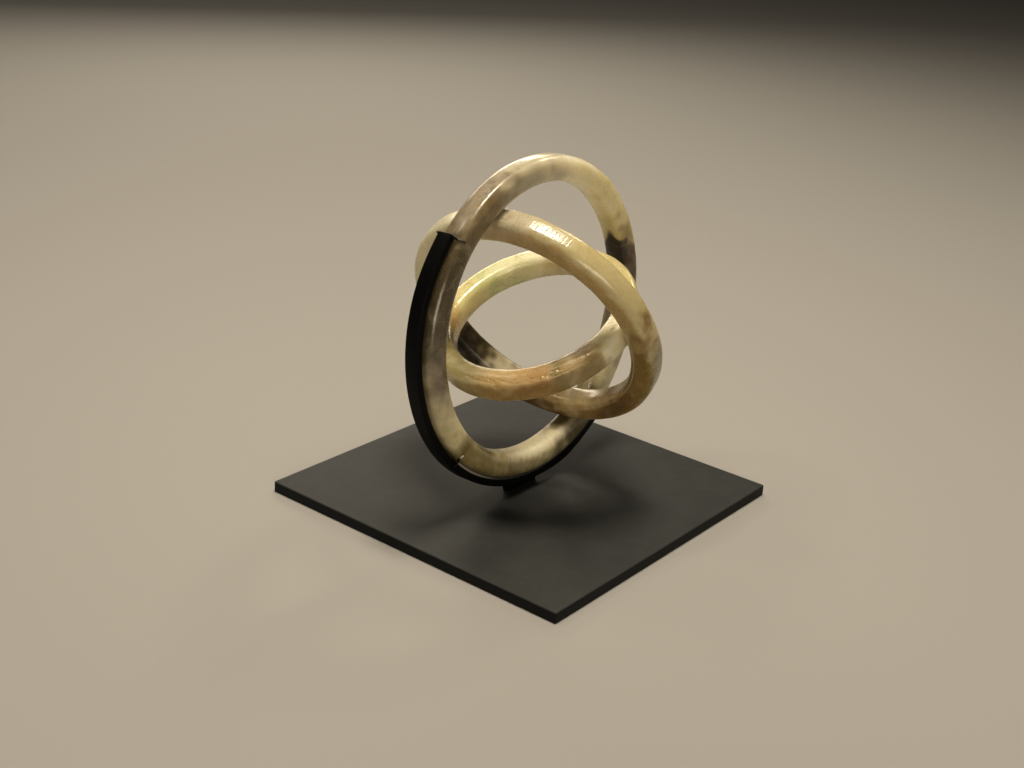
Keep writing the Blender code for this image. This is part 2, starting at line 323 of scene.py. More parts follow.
class Finish:
    """A material's node tree, with one method for every kind of node."""

    def __init__(self, name, **constants):
        self.material = bpy.data.materials.new(name)
        self.material.use_nodes = True
        self.tree = self.material.node_tree
        self.shader = self.tree.nodes["Principled BSDF"]
        self.place = self.node("ShaderNodeTexCoord").outputs["Object"]
        for socket, value in constants.items():
            self.shader.inputs[socket.replace("_", " ")].default_value = value

    def node(self, kind, settings=None, sockets=None):
        """A node of a kind, with its settings made first and then its sockets' values or links."""
        node = self.tree.nodes.new(kind)
        for name, value in (settings or {}).items():
            setattr(node, name, value)
        for name, value in (sockets or {}).items():
            self.plug(node.inputs[name], value)
        return node

    def plug(self, socket, value):
        value = getattr(value, "socket", value)
        if isinstance(value, bpy.types.NodeSocket):
            self.tree.links.new(value, socket)
        elif socket.type == "RGBA":
            socket.default_value = (*value, 1.0)
        else:
            socket.default_value = value

    def noise(self, scale, detail=3.0, roughness=0.5, distortion=0.0):
        """Fractal noise around 0.5. Its scale is in waves to the metre."""
        sockets = {"Vector": self.place, "Scale": scale, "Detail": detail}
        sockets.update({"Roughness": roughness, "Distortion": distortion})
        return Number(self, self.node("ShaderNodeTexNoise", None, sockets).outputs["Fac"])

    def cells(self, scale):
        """How far it is to the middle of the nearest cell, with this many cells to the metre."""
        node = self.node("ShaderNodeTexVoronoi", None, {"Vector": self.place, "Scale": scale})
        return Number(self, node.outputs["Distance"])

    def along(self, axis):
        """How far along one of the object's own axes each place lies."""
        node = self.node("ShaderNodeSeparateXYZ", None, {"Vector": self.place})
        return Number(self, node.outputs[axis])

    def attribute(self, name):
        return self.node("ShaderNodeAttribute", {"attribute_name": name}).outputs

    def mix(self, factor, first, second, blend="MIX"):
        settings = {"data_type": "RGBA", "blend_type": blend, "clamp_factor": True}
        sockets = {MIX_FACTOR: factor, MIX_FIRST: first, MIX_SECOND: second}
        return self.node("ShaderNodeMix", settings, sockets).outputs[MIX_RESULT]

    def bump(self, height, distance, strength, under=None):
        """The normal bumped by a height, on top of the one under it."""
        sockets = {"Height": height, "Distance": distance, "Strength": strength}
        if under is not None:
            sockets["Normal"] = under
        return self.node("ShaderNodeBump", None, sockets).outputs["Normal"]

    def set(self, name, value):
        self.plug(self.shader.inputs[name], value)


def jade_finish(name, grit):
    """Polished jade: cloudy stone under a soft gloss, with veins, flecks and fine pits.

    The piece's own tone attribute gives its broad colours, and its stain attribute says where
    dark mineral specks gather. Grit is how deep the tiny facets are that sparkle in a light.
    """
    finish = Finish(
        name,
        Subsurface_Weight=0.8,
        Subsurface_Scale=10.0 * MM,
        Subsurface_Radius=(1.0, 0.92, 0.68),
        IOR=1.6,
        Coat_Weight=0.4,
        Coat_Roughness=0.14,
    )
    tone = finish.attribute("tone")["Color"]
    stain = Number(finish, finish.attribute("stain")["Fac"])
    grain = finish.noise(1500.0, 3.0, 0.6)

    # Darker and paler clouds, and thin wisps
    clouds = finish.noise(130.0, 5.0, 0.6, 0.7)
    wisps = finish.noise(340.0, 4.0, 0.6, 1.6)
    darker = finish.mix(0.55, tone, tone, "MULTIPLY")
    paler = finish.mix(0.28, tone, stone("cream"))
    colour = finish.mix(clouds.rise(0.46, 0.72) * 0.4, tone, darker)
    colour = finish.mix((1.0 - clouds).rise(0.5, 0.74) * 0.6, colour, paler)
    colour = finish.mix(wisps.rise(0.55, 0.75) * 0.35, colour, paler)
    colour = finish.mix(grain.rise(0.5, 0.8) * 0.16, colour, darker)

    # Veins, where one noise crosses its middle
    vein_line = (finish.noise(85.0, 6.0, 0.62, 1.2) - 0.5).size()
    veins = (1.0 - vein_line.rise(0.0, 0.02)) * finish.noise(45.0, 2.0).rise(0.5, 0.66)
    colour = finish.mix(veins * 0.5, colour, stone("ochre"))

    # Dark mineral specks, and smudges where the stone is stained
    specks = (1.0 - finish.cells(620.0).rise(0.08, 0.2)) * finish.noise(210.0).rise(0.5, 0.62)
    colour = finish.mix(specks * (0.25 + stain * 0.6), colour, stone("umber"))
    smudge = finish.noise(260.0, 5.0, 0.7, 0.8).rise(0.42, 0.66) * stain
    finish.set("Base Color", finish.mix(smudge * 0.8, colour, stone("soot")))

    # The polish: slow waves, rare pits in a fine grain, and the grit's facets
    hollows = 1.0 - finish.cells(950.0).rise(0.05, 0.24)
    rare_pits = hollows * finish.noise(330.0, 2.0).rise(0.52, 0.66)
    finish.set("Roughness", 0.24 + grain * 0.08 + rare_pits * 0.2 + stain * 0.35)
    slow = finish.bump(finish.noise(150.0, 2.0), 0.35 * MM, 0.5)
    skin = finish.bump(grain * 0.3 - rare_pits, 0.08 * MM, 0.6, slow)
    finish.set("Normal", finish.bump(finish.cells(1100.0), grit, 0.7, skin))
    return finish.material


def wire_finish(name, foot_colour, tip_colour, bare):
    """Bent wire, dark at its foot and of another colour from a share of its length to its tip.

    It has fine scratches all over and grime on its tip, which is worn and glossier.
    """
    finish = Finish(name, IOR=1.5, Specular_IOR_Level=0.4)
    grime = finish.noise(1500.0, 4.0, 0.65, 0.4)
    scratches = finish.noise(6000.0, 2.0)
    along = Number(finish, finish.attribute("along")["Fac"])
    worn = (along + (grime - 0.5) * 0.15).rise(bare - 0.05, bare + 0.05)
    tip = finish.mix(grime.rise(0.5, 0.75) * 0.5, tip_colour, 0.55 * np.array(tip_colour))
    finish.set("Base Color", finish.mix(worn, foot_colour, tip))
    finish.set("Roughness", 0.42 - worn * 0.1 + scratches * 0.12)
    finish.set("Normal", finish.bump(scratches, 0.03 * MM, 0.5))
    return finish.material


def paint_finish(name, colour, dust_colour, roughness, grain, gloss, dust_above_shade_below=0.0):
    """Sprayed paint on metal: fine orange peel under clouds and specks of paler dust.

    Dust lies only above a height. Below it the colour is far darker than the paint's own, as painted
    shade.
    """
    finish = Finish(name, IOR=1.5, Specular_IOR_Level=gloss)
    peel = finish.noise(grain, 3.0, 0.55)
    dust = finish.noise(grain * 0.06, 5.0, 0.65, 0.5)
    specks = (1.0 - finish.cells(grain * 0.25).rise(0.05, 0.14)) * dust.rise(0.45, 0.62)
    tint = finish.mix(dust.rise(0.35, 0.75) * 0.35, colour, dust_colour)
    tint = finish.mix(specks * 0.35, tint, dust_colour)
    # Painted shade: below the height the paint darkens to a small share of its colour
    dusty_unshaded = finish.along("Z").rise(dust_above_shade_below - DUST_SHADE_FADE, dust_above_shade_below + DUST_SHADE_FADE)
    finish.set("Base Color", finish.mix(dusty_unshaded, 0.15 * np.array(colour), tint))
    finish.set("Roughness", roughness + peel * 0.12 + dust * 0.08)
    finish.set("Normal", finish.bump(peel, 0.06 * MM, 0.5))
    return finish.material


def felt_finish(name, colour, painted_shade_start, painted_shade_end):
    """Pressed felt: tangled fibres, a little lint and a soft sheen.

    Along X it passes from clean to nearly black between the two places, as painted shade.
    """
    finish = Finish(name, Sheen_Weight=0.4, Sheen_Roughness=0.5)
    fibres = finish.noise(2600.0, 4.0, 0.7, 2.0)
    lint = finish.noise(500.0, 3.0, 0.6)
    shade = finish.mix(0.5, colour, colour, "MULTIPLY")
    clean = finish.mix(fibres.rise(0.35, 0.7) * 0.5 + lint * 0.3, shade, colour)
    # Painted shade: along X the lining darkens to nearly black
    grime = finish.along("X").rise(painted_shade_start, painted_shade_end)
    finish.set("Base Color", finish.mix(grime, clean, 0.02 * np.array(colour)))
    finish.set("Roughness", 0.85 + fibres * 0.1)
    finish.set("Normal", finish.bump(fibres, 0.12 * MM, 0.8))
    return finish.material


# Rings

# Points on the outline that a facet's line is measured from, and how many times its softness
# that line lies clear of the section off the facet's arc
OUTLINE_SAMPLES = 721
CLEAR = 4.0

# Lengths of the long and the short ripple of the hand-worked surface
LONG_RIPPLE = 22.0 * MM
SHORT_RIPPLE = 8.0 * MM

# How far ripples shift the angles that colours go by, in degrees, and each ripple's length
TURN_SHIFTS = ((5.0, 16.0 * MM), (2.5, 5.0 * MM))
SECTION_SHIFTS = ((9.0, 14.0 * MM), (5.0, 4.0 * MM))

# How deep the inscription's strokes are
STROKE_DEPTH = 0.065 * MM


class Facet(NamedTuple):
    """A flat ground on the section, towards an angle round it, on an arc of the ring.

    Its depth and the softness of its edges are in mm. Its arc fades out over some degrees.
    """

    towards: float
    depth: float
    start: float
    end: float
    fade: float = 30.0
    soft: float = 0.25


class Dent(NamedTuple):
    """A polished hollow at two angles. Its sizes are in mm, and its lean in degrees."""

    turn: float
    section: float
    length: float
    width: float
    depth: float
    lean: float = 0.0


class Patch(NamedTuple):
    """A patch of colour: its two angles, its half sizes in degrees, and how it covers."""

    turn: float
    section: float
    reach: float
    across: float
    colour: str
    strength: float = 0.8
    soft: float = 0.5
    stain: float = 0.0


def grind_facet(outwards, along, form, squareness, facet, turns):
    """Grind a flat facet on the section, held back past a line across one direction.

    What passes the line is drawn back to it along that direction, by a softened maximum. Off
    the facet's arc the line lies clear outside the section.
    """
    direction = math.radians(facet.towards)
    cos, sin = math.cos(direction), math.sin(direction)
    outline = form.section(np.linspace(-180.0, 180.0, OUTLINE_SAMPLES), squareness)
    soft = facet.soft * MM
    arc = span(turns, facet.start, facet.end, facet.fade)[:, None]
    clear_line = (outline[0] * cos + outline[1] * sin).max() + CLEAR * soft
    line = clear_line - arc * (facet.depth * MM + CLEAR * soft)
    drawn_back = soft * np.logaddexp(0.0, (outwards * cos + along * sin - line) / soft)
    return outwards - drawn_back * cos, along - drawn_back * sin


def near_line(points, start, end):
    """The distance of each point from the straight line between two points."""
    way = end - start
    share = np.clip((points - start) @ way / (way @ way), 0.0, 1.0)
    return np.linalg.norm(points - start - share[..., None] * way, axis=-1)


def ring_surface(form, look, settings):
    """The ring's surface, as points on a grid, with each point's two angles.

    The section is a superellipse with ground facets. It is then drawn in by the ripple of the
    hand-worked surface, and by dents and strokes, whose depths are bell curves.
    """
    squareness = settings.squareness
    section, steps, length = even_section(form, squareness, settings.section_steps)
    turns = even_turns(settings.ring_steps, *look["crowded"])
    turn_grid, section_grid = np.meshgrid(turns, section, indexing="ij")
    outwards, along = form.section(section_grid, squareness)
    for facet in look["facets"]:
        outwards, along = grind_facet(outwards, along, form, squareness, facet, turns)

    points = form.place(turn_grid, form.middle_radius + outwards, along)
    long = 0.5 + 0.35 * ripple(points, LONG_RIPPLE, look["seed"])
    short = 0.5 + 0.4 * ripple(points, SHORT_RIPPLE, look["seed"] + 1)
    depth = np.maximum(settings.hand_ripple * (long + 0.35 * short), 0.0)
    for dent in look["dents"]:
        x = np.radians(turn_between(turn_grid, dent.turn)) * form.outside_radius
        y = turn_between(section_grid, dent.section) / 360.0 * length
        lean = math.radians(dent.lean)
        u = (x * math.cos(lean) + y * math.sin(lean)) / (dent.length * MM)
        v = (y * math.cos(lean) - x * math.sin(lean)) / (dent.width * MM)
        depth += dent.depth * MM * np.exp(-(u * u + v * v))

    # The strokes lie on the unrolled surface, across the middle line of its outer face.
    travel = math.radians(1.0) * form.outside_radius
    unrolled = np.stack(np.meshgrid(turns * travel, steps - length / 2.0, indexing="ij"), axis=-1)
    for start, end in look["strokes"]:
        away = near_line(unrolled, start * np.array((travel, MM)), end * np.array((travel, MM)))
        depth += STROKE_DEPTH * np.exp(-((away / (settings.stroke_width / 2.0)) ** 2))

    shrink = 1.0 - depth / np.hypot(outwards, along)
    points = form.place(turn_grid, form.middle_radius + outwards * shrink, along * shrink)
    return points, turn_grid, section_grid


def shifted(angles, points, shifts, seed):
    """Angles moved to and fro by ripples, the first drawn from the seed and the rest after it."""
    for number, (degrees, wavelength) in enumerate(shifts):
        angles = angles + degrees * ripple(points, wavelength, seed + number)
    return angles


def paint_ring(points, turns, section, look):
    """The ring's broad colours, and how much each place is stained.

    The base colour passes evenly through the colours named round the ring. Each patch then
    covers it by its strength, inside an ellipse of degrees round the ring and round the
    section. Both angles are first shifted by ripples, so that no edge is regular.
    """
    seed = look["seed"] + 10
    turns = shifted(turns, points, TURN_SHIFTS, seed)
    section = shifted(section, points, SECTION_SHIFTS, seed + len(TURN_SHIFTS))
    places = sorted(look["base"])
    colours = np.array([stone(look["base"][place]) for place in places])
    channels = [np.interp(turns, places, channel, period=360.0) for channel in colours.T]
    tone = np.stack(channels, axis=-1)
    stain = np.zeros(turns.shape)
    for patch in look["patches"]:
        u = turn_between(turns, patch.turn) / patch.reach
        v = turn_between(section, patch.section) / patch.across
        edge = rise(np.hypot(u, v), 1.0 - patch.soft, 1.0 + patch.soft)
        cover = patch.strength * (1.0 - edge)
        tone += cover[..., None] * (stone(patch.colour) - tone)
        stain = np.maximum(stain, cover * patch.stain)
    return tone, stain


def pits(first_turn, last_turn, section, across, count, depth, seed):
    """Small polished hollows, strewn by a seed over an arc of the ring."""
    draw = np.random.default_rng(seed)
    turns = draw.uniform(first_turn, last_turn, count)
    angles = section + draw.uniform(-0.5, 0.5, count) * across
    sizes = draw.uniform(0.5, 1.0, (count, 3))
    return [
        Dent(turn, angle, 1.1 * long, 0.7 * wide, depth * deep, 25.0 * (wide - long))
        for turn, angle, (long, wide, deep) in zip(turns, angles, sizes)
    ]


def inscription(first_turn, last_turn, columns):
    """Shallow strokes across the outer face, which stand for a worn inscription.

    Each column has one long stroke across the face or two short ones, by a repeating rule. A
    stroke's ends are in degrees round the ring and mm across the face.
    """
    strokes = []
    for column, turn in enumerate(np.linspace(first_turn, last_turn, columns)):
        if column % 4 == 2:
            strokes.append(((turn, -1.9), (turn + 0.3, -0.3)))
            strokes.append(((turn, 0.6), (turn + 0.2, 2.0)))
        else:
            reach = 2.4 if column % 3 else 1.6
            strokes.append(((turn, -reach), (turn + 0.35, reach)))
    return strokes


# Each ring's slot, the seed of its ripples, the depth of its sparkling facets in mm, the middle,
# half length and strength of its crowded arc, its relief, its colours by degrees and its patches
OUTER_LOOK = {
    "slot": "jade_outer",
    "seed": 11,
    "grit": 0.04,
    "crowded": (30, 8, 1),
    "facets": [Facet(62, 0.3, 14, 44, 16, 0.15)],
    "dents": [
        Dent(30.5, 8, 1, 0.6, 0.35, 20),
        Dent(29, 16, 0.7, 0.45, 0.3, -30),
        Dent(32, 22, 0.5, 0.5, 0.2),
        Dent(-69, 100, 1.6, 0.7, 0.25, 70),
        *pits(20, 44, 5, 25, 14, 0.12, 71),
    ],
    "strokes": [],
    "base": {
        -172: "ivory", -158: "moss", -145: "moss", -128: "ivory", -105: "taupe", -88: "dove",
        -78: "taupe", -62: "straw", -45: "ivory", -30: "ivory", -18: "cream", 5: "dove", 16: "dove",
        30: "taupe", 42: "mushroom", 58: "bark", 85: "bark", 102: "taupe", 120: "ivory",
        136: "olive", 150: "straw", 165: "ivory",
    },
    "patches": [
        Patch(-71, 150, 7.5, 75, "soot", 0.95, 0.25, 0.7),
        Patch(-76, 80, 8, 45, "umber", 0.8, 0.4, 0.4),
        Patch(-60, 95, 7, 35, "ochre", 0.5, 0.6, 0.3),
        # Partly pale stone and partly painted highlight: cream on the upward inner face at the bottom
        Patch(-172, 150, 16, 50, "cream", 0.9),
        Patch(31, 5, 13, 38, "taupe", 0.8, 0.4, 0.5),
        # Partly pale stone and partly painted highlight: cream on the upward inner face at the lower
        # left
        Patch(165, 120, 13, 36, "cream", 0.9, 0.7),
        Patch(34, 90, 16, 35, "mushroom", 0.6, 0.5, 0.1),
        Patch(165, 45, 36, 50, "olive", 0.85, 0.8, 0.05),
        Patch(165, 15, 40, 45, "moss", 0.7, 0.8, 0.1),
        Patch(-160, 100, 8, 60, "bark", 0.4, 0.9, 0.05),
    ],
}

MIDDLE_LOOK = {
    "slot": "jade_middle",
    "seed": 31,
    "grit": 0.04,
    "crowded": (19.5, 9, 5),
    "facets": [Facet(-45, 0.2, 0, 70)],
    "dents": [],
    "strokes": inscription(11.5, 27.5, 9),
    "base": {
        -172: "ochre", -158: "mushroom", -145: "dove", -130: "moss", -112: "mushroom", -85: "sage",
        -50: "cream", -28: "cream", -4: "dove", 8: "dove", 24: "sand", 82: "sand", 98: "olive",
        116: "olive", 140: "honey", 165: "sand",
    },
    "patches": [
        Patch(30, -90, 45, 30, "honey", 0.75),
        Patch(82.5, -35, 4, 60, "ochre", 0.7, 0.8),
        Patch(84, 2, 1.6, 8, "umber", 0.5, 0.8, 0.1),
        Patch(84, -85, 6, 30, "umber", 0.5, 0.8),
        Patch(115, -90, 40, 32, "ochre", 0.7, 0.6),
        Patch(150, -85, 26, 34, "ochre", 0.8, 0.6),
        Patch(137, -88, 12, 26, "umber", 0.6, 0.8),
        Patch(-174, -80, 9, 45, "umber", 0.7, 0.6, 0.1),
        Patch(-124, -120, 15, 70, "soot", 0.95, 0.5, 0.5),
        Patch(158, 175, 26, 55, "mushroom", 0.8),
    ],
}

INNER_LOOK = {
    "slot": "jade_inner",
    "seed": 51,
    "grit": 0.12,
    "crowded": (-140, 30, 0.5),
    "facets": [Facet(62, 0.6, -185, -100, 40), Facet(0, 0.1, -180, 180)],
    "dents": pits(-178, -118, 56, 30, 60, 0.3, 72),
    "strokes": [],
    "base": {
        -178: "sand", -160: "sand", -135: "peach", -118: "olive", -106: "honey", -96: "straw",
        -84: "cream", -66: "straw", -40: "straw", -8: "sand", 14: "straw", 40: "cream", 75: "sage",
        98: "straw", 122: "honey", 145: "olive", 170: "straw",
    },
    "patches": [
        Patch(-140, -10, 45, 30, "ochre", 0.75),
        Patch(-110, -10, 18, 35, "olive", 0.6),
        Patch(-150, 60, 25, 35, "peach", 0.6, 0.5, 0.05),
        Patch(-84, 80, 17, 75, "cream", 0.75, 0.9),
    ],
}

RING_LOOKS = {"outer_ring": OUTER_LOOK, "middle_ring": MIDDLE_LOOK, "inner_ring": INNER_LOOK}


def build_ring(node, settings):
    """A ring's mesh with its colours as attributes, with its faces turned outwards."""
    look = RING_LOOKS[node]
    form = RingForm(node)
    points, turns, section = ring_surface(form, look, settings)
    tone, stain = paint_ring(points, turns, section, look)
    quads = grid_quads(*points.shape[:2], True, True)
    mesh = make_mesh(node + "_jade", points, quads)
    rgba = np.insert(tone.reshape(-1, 3), 3, 1.0, axis=1)
    layer = mesh.color_attributes.new("tone", "FLOAT_COLOR", "POINT")
    layer.data.foreach_set("color", rgba.astype(np.float32).ravel())
    store(mesh, "stain", stain)
    first = mesh.polygons[0]
    corner = np.array(first.center)
    core = form.place(form.polar(corner)[0], form.middle_radius, 0.0)
    if np.array(first.normal) @ (corner - core) < 0.0:
        mesh.flip_normals()
    return add_piece(mesh, jade_finish(look["slot"], look["grit"] * MM), look["slot"], node)


# Cradle and base

# Steps along the quarter circle of a soft edge, and of a plate's edge and upright corner
EDGE_STEPS = 6
PLATE_EDGE_STEPS = 5
PLATE_CORNER_STEPS = 12

# Radii of the lining's and the foot's edges, and the least one that a strip's end is left with
LINING_EDGE = 0.2 * MM
FOOT_EDGE = 0.1 * MM
SMALLEST_EDGE = 0.02 * MM

# How close to a strip's broad faces their corners lie, and how many degrees from its ends
FACE_BAND = 0.05 * MM
END_BAND = 0.5

# Points round a wire, and how many degrees its round ends cover before a fan shuts them
WIRE_STEPS = 16
ROUND_END = 80.0

# How near a prong's farthest corners those of its foot and its tip lie
FOOT_BAND = 0.1 * MM
TIP_BAND = 0.35 * MM

# A prong's points on its straight foot and its bend, and how many before the bend it leans
FOOT_POINTS = 12
BEND_POINTS = 40
LEAN_LEAD = 4

# How much of the corner that a plate's edge leaves its level margin takes
MARGIN_SHARE = 0.7

# The bends from which an edge of the strip, the foot or the plate stays sharp
STRIP_SHARP = math.radians(50.0)
PLATE_SHARP = math.radians(60.0)


def soft_edge(radius, steps):
    """How far a quarter circle draws in, and how far it has gone on, at each step."""
    ease = np.radians(np.linspace(0.0, 90.0, steps + 1))
    return radius * (1.0 - np.sin(ease)), radius * (1.0 - np.cos(ease))


def rounded_rectangle(half_width, half_height, radius, arc_steps):
    """Points round a rectangle whose corners are quarter circles."""
    turns = np.linspace(0.0, 90.0, arc_steps + 1)
    corners = []
    for start, (x, y) in zip((0.0, 90.0, 180.0, 270.0), ((1, 1), (-1, 1), (-1, -1), (1, -1))):
        angle = np.radians(turns + start)
        corner_x = x * (half_width - radius) + radius * np.cos(angle)
        corner_y = y * (half_height - radius) + radius * np.sin(angle)
        corners.append(np.stack((corner_x, corner_y), 1))
    return np.concatenate(corners)


def bent_strip(node, name, corner, grow, steps):
    """A flat strip bent round the outer ring, as long, wide and thick as its solid.

    Its profile is a rounded rectangle carried along the solid's own inner and outer line. Near
    each end the profile draws in by a quarter circle, so that the ends are as soft as the
    edges. Grow adds to both faces.
    """
    form = RingForm(node, RingForm("outer_ring").centre)
    angles, radii, heights = form.polar(node_points(node))
    angles = angles % 360.0
    start, end = angles.min(), angles.max()
    wide = (heights.max() - heights.min()) / 2.0
    level = (heights.max() + heights.min()) / 2.0
    height = np.abs(heights - level)
    inside = (angles > start + END_BAND) & (angles < end - END_BAND)
    flat = inside & (height < height.min() + FACE_BAND)
    split = (radii.max() + radii.min()) / 2.0
    lines = []
    for side in (flat & (radii < split), flat & (radii > split)):
        order = np.argsort(angles[side])
        lines.append((angles[side][order], radii[side][order]))
    inset, setback = soft_edge(corner, EDGE_STEPS)
    setback = np.degrees(setback / split)
    body = np.linspace(start + setback[-1], end - setback[-1], steps + 1)[1:-1]
    turns = np.concatenate((start + setback, body, end - setback[::-1]))
    insets = np.concatenate((inset, np.zeros(len(body)), inset[::-1]))
    inner, outer = (np.interp(turns, *line) for line in lines)
    rows = []
    for turn, drawn, low, high in zip(turns, insets, inner, outer):
        thin = (high - low) / 2.0 + grow - drawn
        soft = max(corner - drawn, SMALLEST_EDGE)
        outline = rounded_rectangle(thin, wide - drawn, soft, EDGE_STEPS)
        radius = (high + low) / 2.0 + outline[:, 0]
        rows.append(form.place(turn, radius, level + outline[:, 1]))
    caps = [rows[0].mean(axis=0), rows[-1].mean(axis=0)]
    return sweep(name, np.array(rows), caps)


def wire_tube(name, path, radii):
    """A round wire along a path, with a radius at each point and round ends.

    Its circles lie across the path's direction, turned so that one axis stays square to the
    path's own plane. An attribute tells how far along it each point lies.
    """
    along = np.gradient(path, axis=0)
    along /= np.linalg.norm(along, axis=1)[:, None]
    flat = np.cross(along[0], along[len(along) // 2])
    flat /= np.linalg.norm(flat)
    across = np.cross(flat, along)
    across /= np.linalg.norm(across, axis=1)[:, None]
    ease = np.radians(np.linspace(0.0, ROUND_END, EDGE_STEPS + 1))
    first = path[0] - radii[0] * np.sin(ease[::-1])[:, None] * along[0]
    last = path[-1] + radii[-1] * np.sin(ease)[:, None] * along[-1]
    centres = np.concatenate((first, path[1:-1], last))
    sizes = np.concatenate((radii[0] * np.cos(ease[::-1]), radii[1:-1], radii[-1] * np.cos(ease)))
    sides = across[np.clip(np.arange(len(centres)) - EDGE_STEPS, 0, len(across) - 1)]
    turn = np.linspace(0.0, 2.0 * math.pi, WIRE_STEPS, endpoint=False)[:, None]
    ring = np.cos(turn) * sides[:, None, :] + np.sin(turn) * flat
    sections = centres[:, None, :] + sizes[:, None, None] * ring
    caps = [path[0] - radii[0] * along[0], path[-1] + radii[-1] * along[-1]]
    mesh = sweep(name, sections, caps)
    share = np.repeat(np.linspace(0.0, 1.0, len(centres)), WIRE_STEPS)
    store(mesh, "along", np.append(share, (0.0, 1.0)))
    return mesh


def prong_path(node, squareness, wire_radius):
    """The line of a prong: up the strip's side, then round the ring's section to its tip.

    Its foot and its tip are the ends of the solid: the points farthest from the ring's middle
    line, and the points farthest from those. Between them the line leans along the ring.
    """
    form = RingForm("outer_ring")
    points = node_points(node)
    angles, radii, heights = form.polar(points)
    side = math.copysign(1.0, heights.mean())
    foot_place = points[radii > radii.max() - FOOT_BAND].mean(axis=0)
    away = np.linalg.norm(points - foot_place, axis=1)
    tip_place = points[away > away.max() - TIP_BAND].mean(axis=0)
    ends = form.polar(np.stack((foot_place, tip_place)))
    reach = np.abs(heights).max() - form.half_width - wire_radius
    power = squareness / 2.0
    outwards = np.maximum(ends[1] - form.middle_radius, 0.0) / (form.half_depth + reach)
    along = np.minimum(np.abs(ends[2]) / (form.half_width + reach), 1.0)
    first = math.degrees(math.asin(along[0] ** power))
    last = math.degrees(math.atan2(along[1] ** power, outwards[1] ** power))
    outwards, along = form.section(np.linspace(first, last, BEND_POINTS), squareness, reach)
    foot = np.linspace(radii.max() - form.middle_radius, outwards[0], FOOT_POINTS)[:-1]
    outwards = np.append(foot, outwards)
    along = np.append(np.full(len(foot), along[0]), along)
    lean = rise(np.arange(len(outwards)), len(foot) - LEAN_LEAD, len(outwards) - 1)
    turns = ends[0][0] + turn_between(ends[0][1], ends[0][0]) * lean
    return form.place(turns, form.middle_radius + outwards, side * along)


def plate_surface(name, low, high, corner, bevel):
    """A square plate: its outline drawn in and lifted along a bevel at each face.

    The outline is a rounded square and each bevel a quarter circle. Inside each bevel runs a
    narrow level margin, which keeps the shading of the flat face even.
    """
    margin = (corner - bevel) * MARGIN_SHARE
    half = (high - low) / 2.0
    centre = (high + low) / 2.0
    inset, lift = soft_edge(bevel, PLATE_EDGE_STEPS)
    inset = np.concatenate(([bevel + margin], inset, inset[::-1], [bevel + margin]))
    height = np.concatenate(([low[2]], low[2] + lift, high[2] - lift[::-1], [high[2]]))
    rows = []
    for drawn, level in zip(inset, height):
        sides = half[:2] - drawn
        outline = rounded_rectangle(*sides, corner - drawn, PLATE_CORNER_STEPS) + centre[:2]
        rows.append(np.column_stack((outline, np.full(len(outline), level))))
    caps = [(centre[0], centre[1], low[2]), (centre[0], centre[1], high[2])]
    return sweep(name, np.array(rows), caps)


# Settings


def number_setting(name, description, default, low=0.0, unit="NONE"):
    return FloatProperty(name=name, description=description, default=default, min=low, unit=unit)


def length_setting(name, description, default):
    return number_setting(name, description, default, unit="LENGTH")


def steps_setting(name, description, default):
    return IntProperty(name=name, description=description, default=default, min=4)


def colour_setting(name, description, default):
    return FloatVectorProperty(name=name, description=description, default=default, subtype="COLOR")


class RingSettings(PropertyGroup):
    squareness: number_setting("Squareness", "How square a section is: 2 is an ellipse", 3.2, 2.0)
    hand_ripple: length_setting("Hand ripple", "Depth of the surface's unevenness", 0.16 * MM)
    stroke_width: length_setting("Stroke width", "Width of the inscription's strokes", 0.42 * MM)
    ring_steps: steps_setting("Ring steps", "Steps round each ring", 880)
    section_steps: steps_setting("Section steps", "Steps round a section", 108)


class CradleSettings(PropertyGroup):
    strip_corner: length_setting("Strip corner", "Radius of the strip's long edges", 0.4 * MM)
    strip_steps: steps_setting("Strip steps", "Steps along the strip", 260)
    lining_swell: length_setting("Lining swell", "How far each of its faces fills the gap", 0.28 * MM)
    foot_overlap: length_setting("Foot overlap", "How far the foot reaches up to the strip", 0.5 * MM)
    strip_colour: colour_setting("Strip colour", "Colour of the strip's paint", (0.002, 0.002, 0.0018))
    felt_colour: colour_setting("Lining colour", "Colour of the felt lining", (0.42, 0.40, 0.35))


class ProngSettings(PropertyGroup):
    wire_radius: length_setting("Wire radius", "Radius of the prongs' wire", 0.45 * MM)
    tip_swell: number_setting("Tip swell", "Share by which the lower tips are thicker", 0.35)
    wire_colour: colour_setting("Wire colour", "Colour of the upper prongs", (0.045, 0.03, 0.022))
    tip_colour: colour_setting("Tip colour", "Colour of the lower prongs' tips", (0.62, 0.56, 0.45))


class PlateSettings(PropertyGroup):
    corner: length_setting("Corner radius", "Radius of the plate's upright corners", 0.8 * MM)
    bevel: length_setting("Edge radius", "Radius of the plate's upper and lower edges", 0.5 * MM)
    colour: colour_setting("Plate colour", "Colour of the plate's paint", (0.040, 0.042, 0.041))


class StageSettings(PropertyGroup):
    floor_colour: colour_setting("Floor colour", "Colour of the plain floor", (0.40, 0.39, 0.37))
    floor_size: length_setting("Floor size", "Side of the floor", 8.0)
    room_strength: number_setting("Room light", "Strength of the even light all round", 0.025)
    gamma: number_setting("Gamma", "Gamma of the view: below 1 deepens the dark tones", 0.87, 0.1)


# Operators


class JADE_OT_rings(Operator):
    """Build the polished surface of each jade ring in the place of its solid"""

    bl_idname = "jade.rings"
    bl_label = "Jade Rings"

    def execute(self, context):
        for node in RING_LOOKS:
            build_ring(node, context.scene.jade_rings)
        return {"FINISHED"}


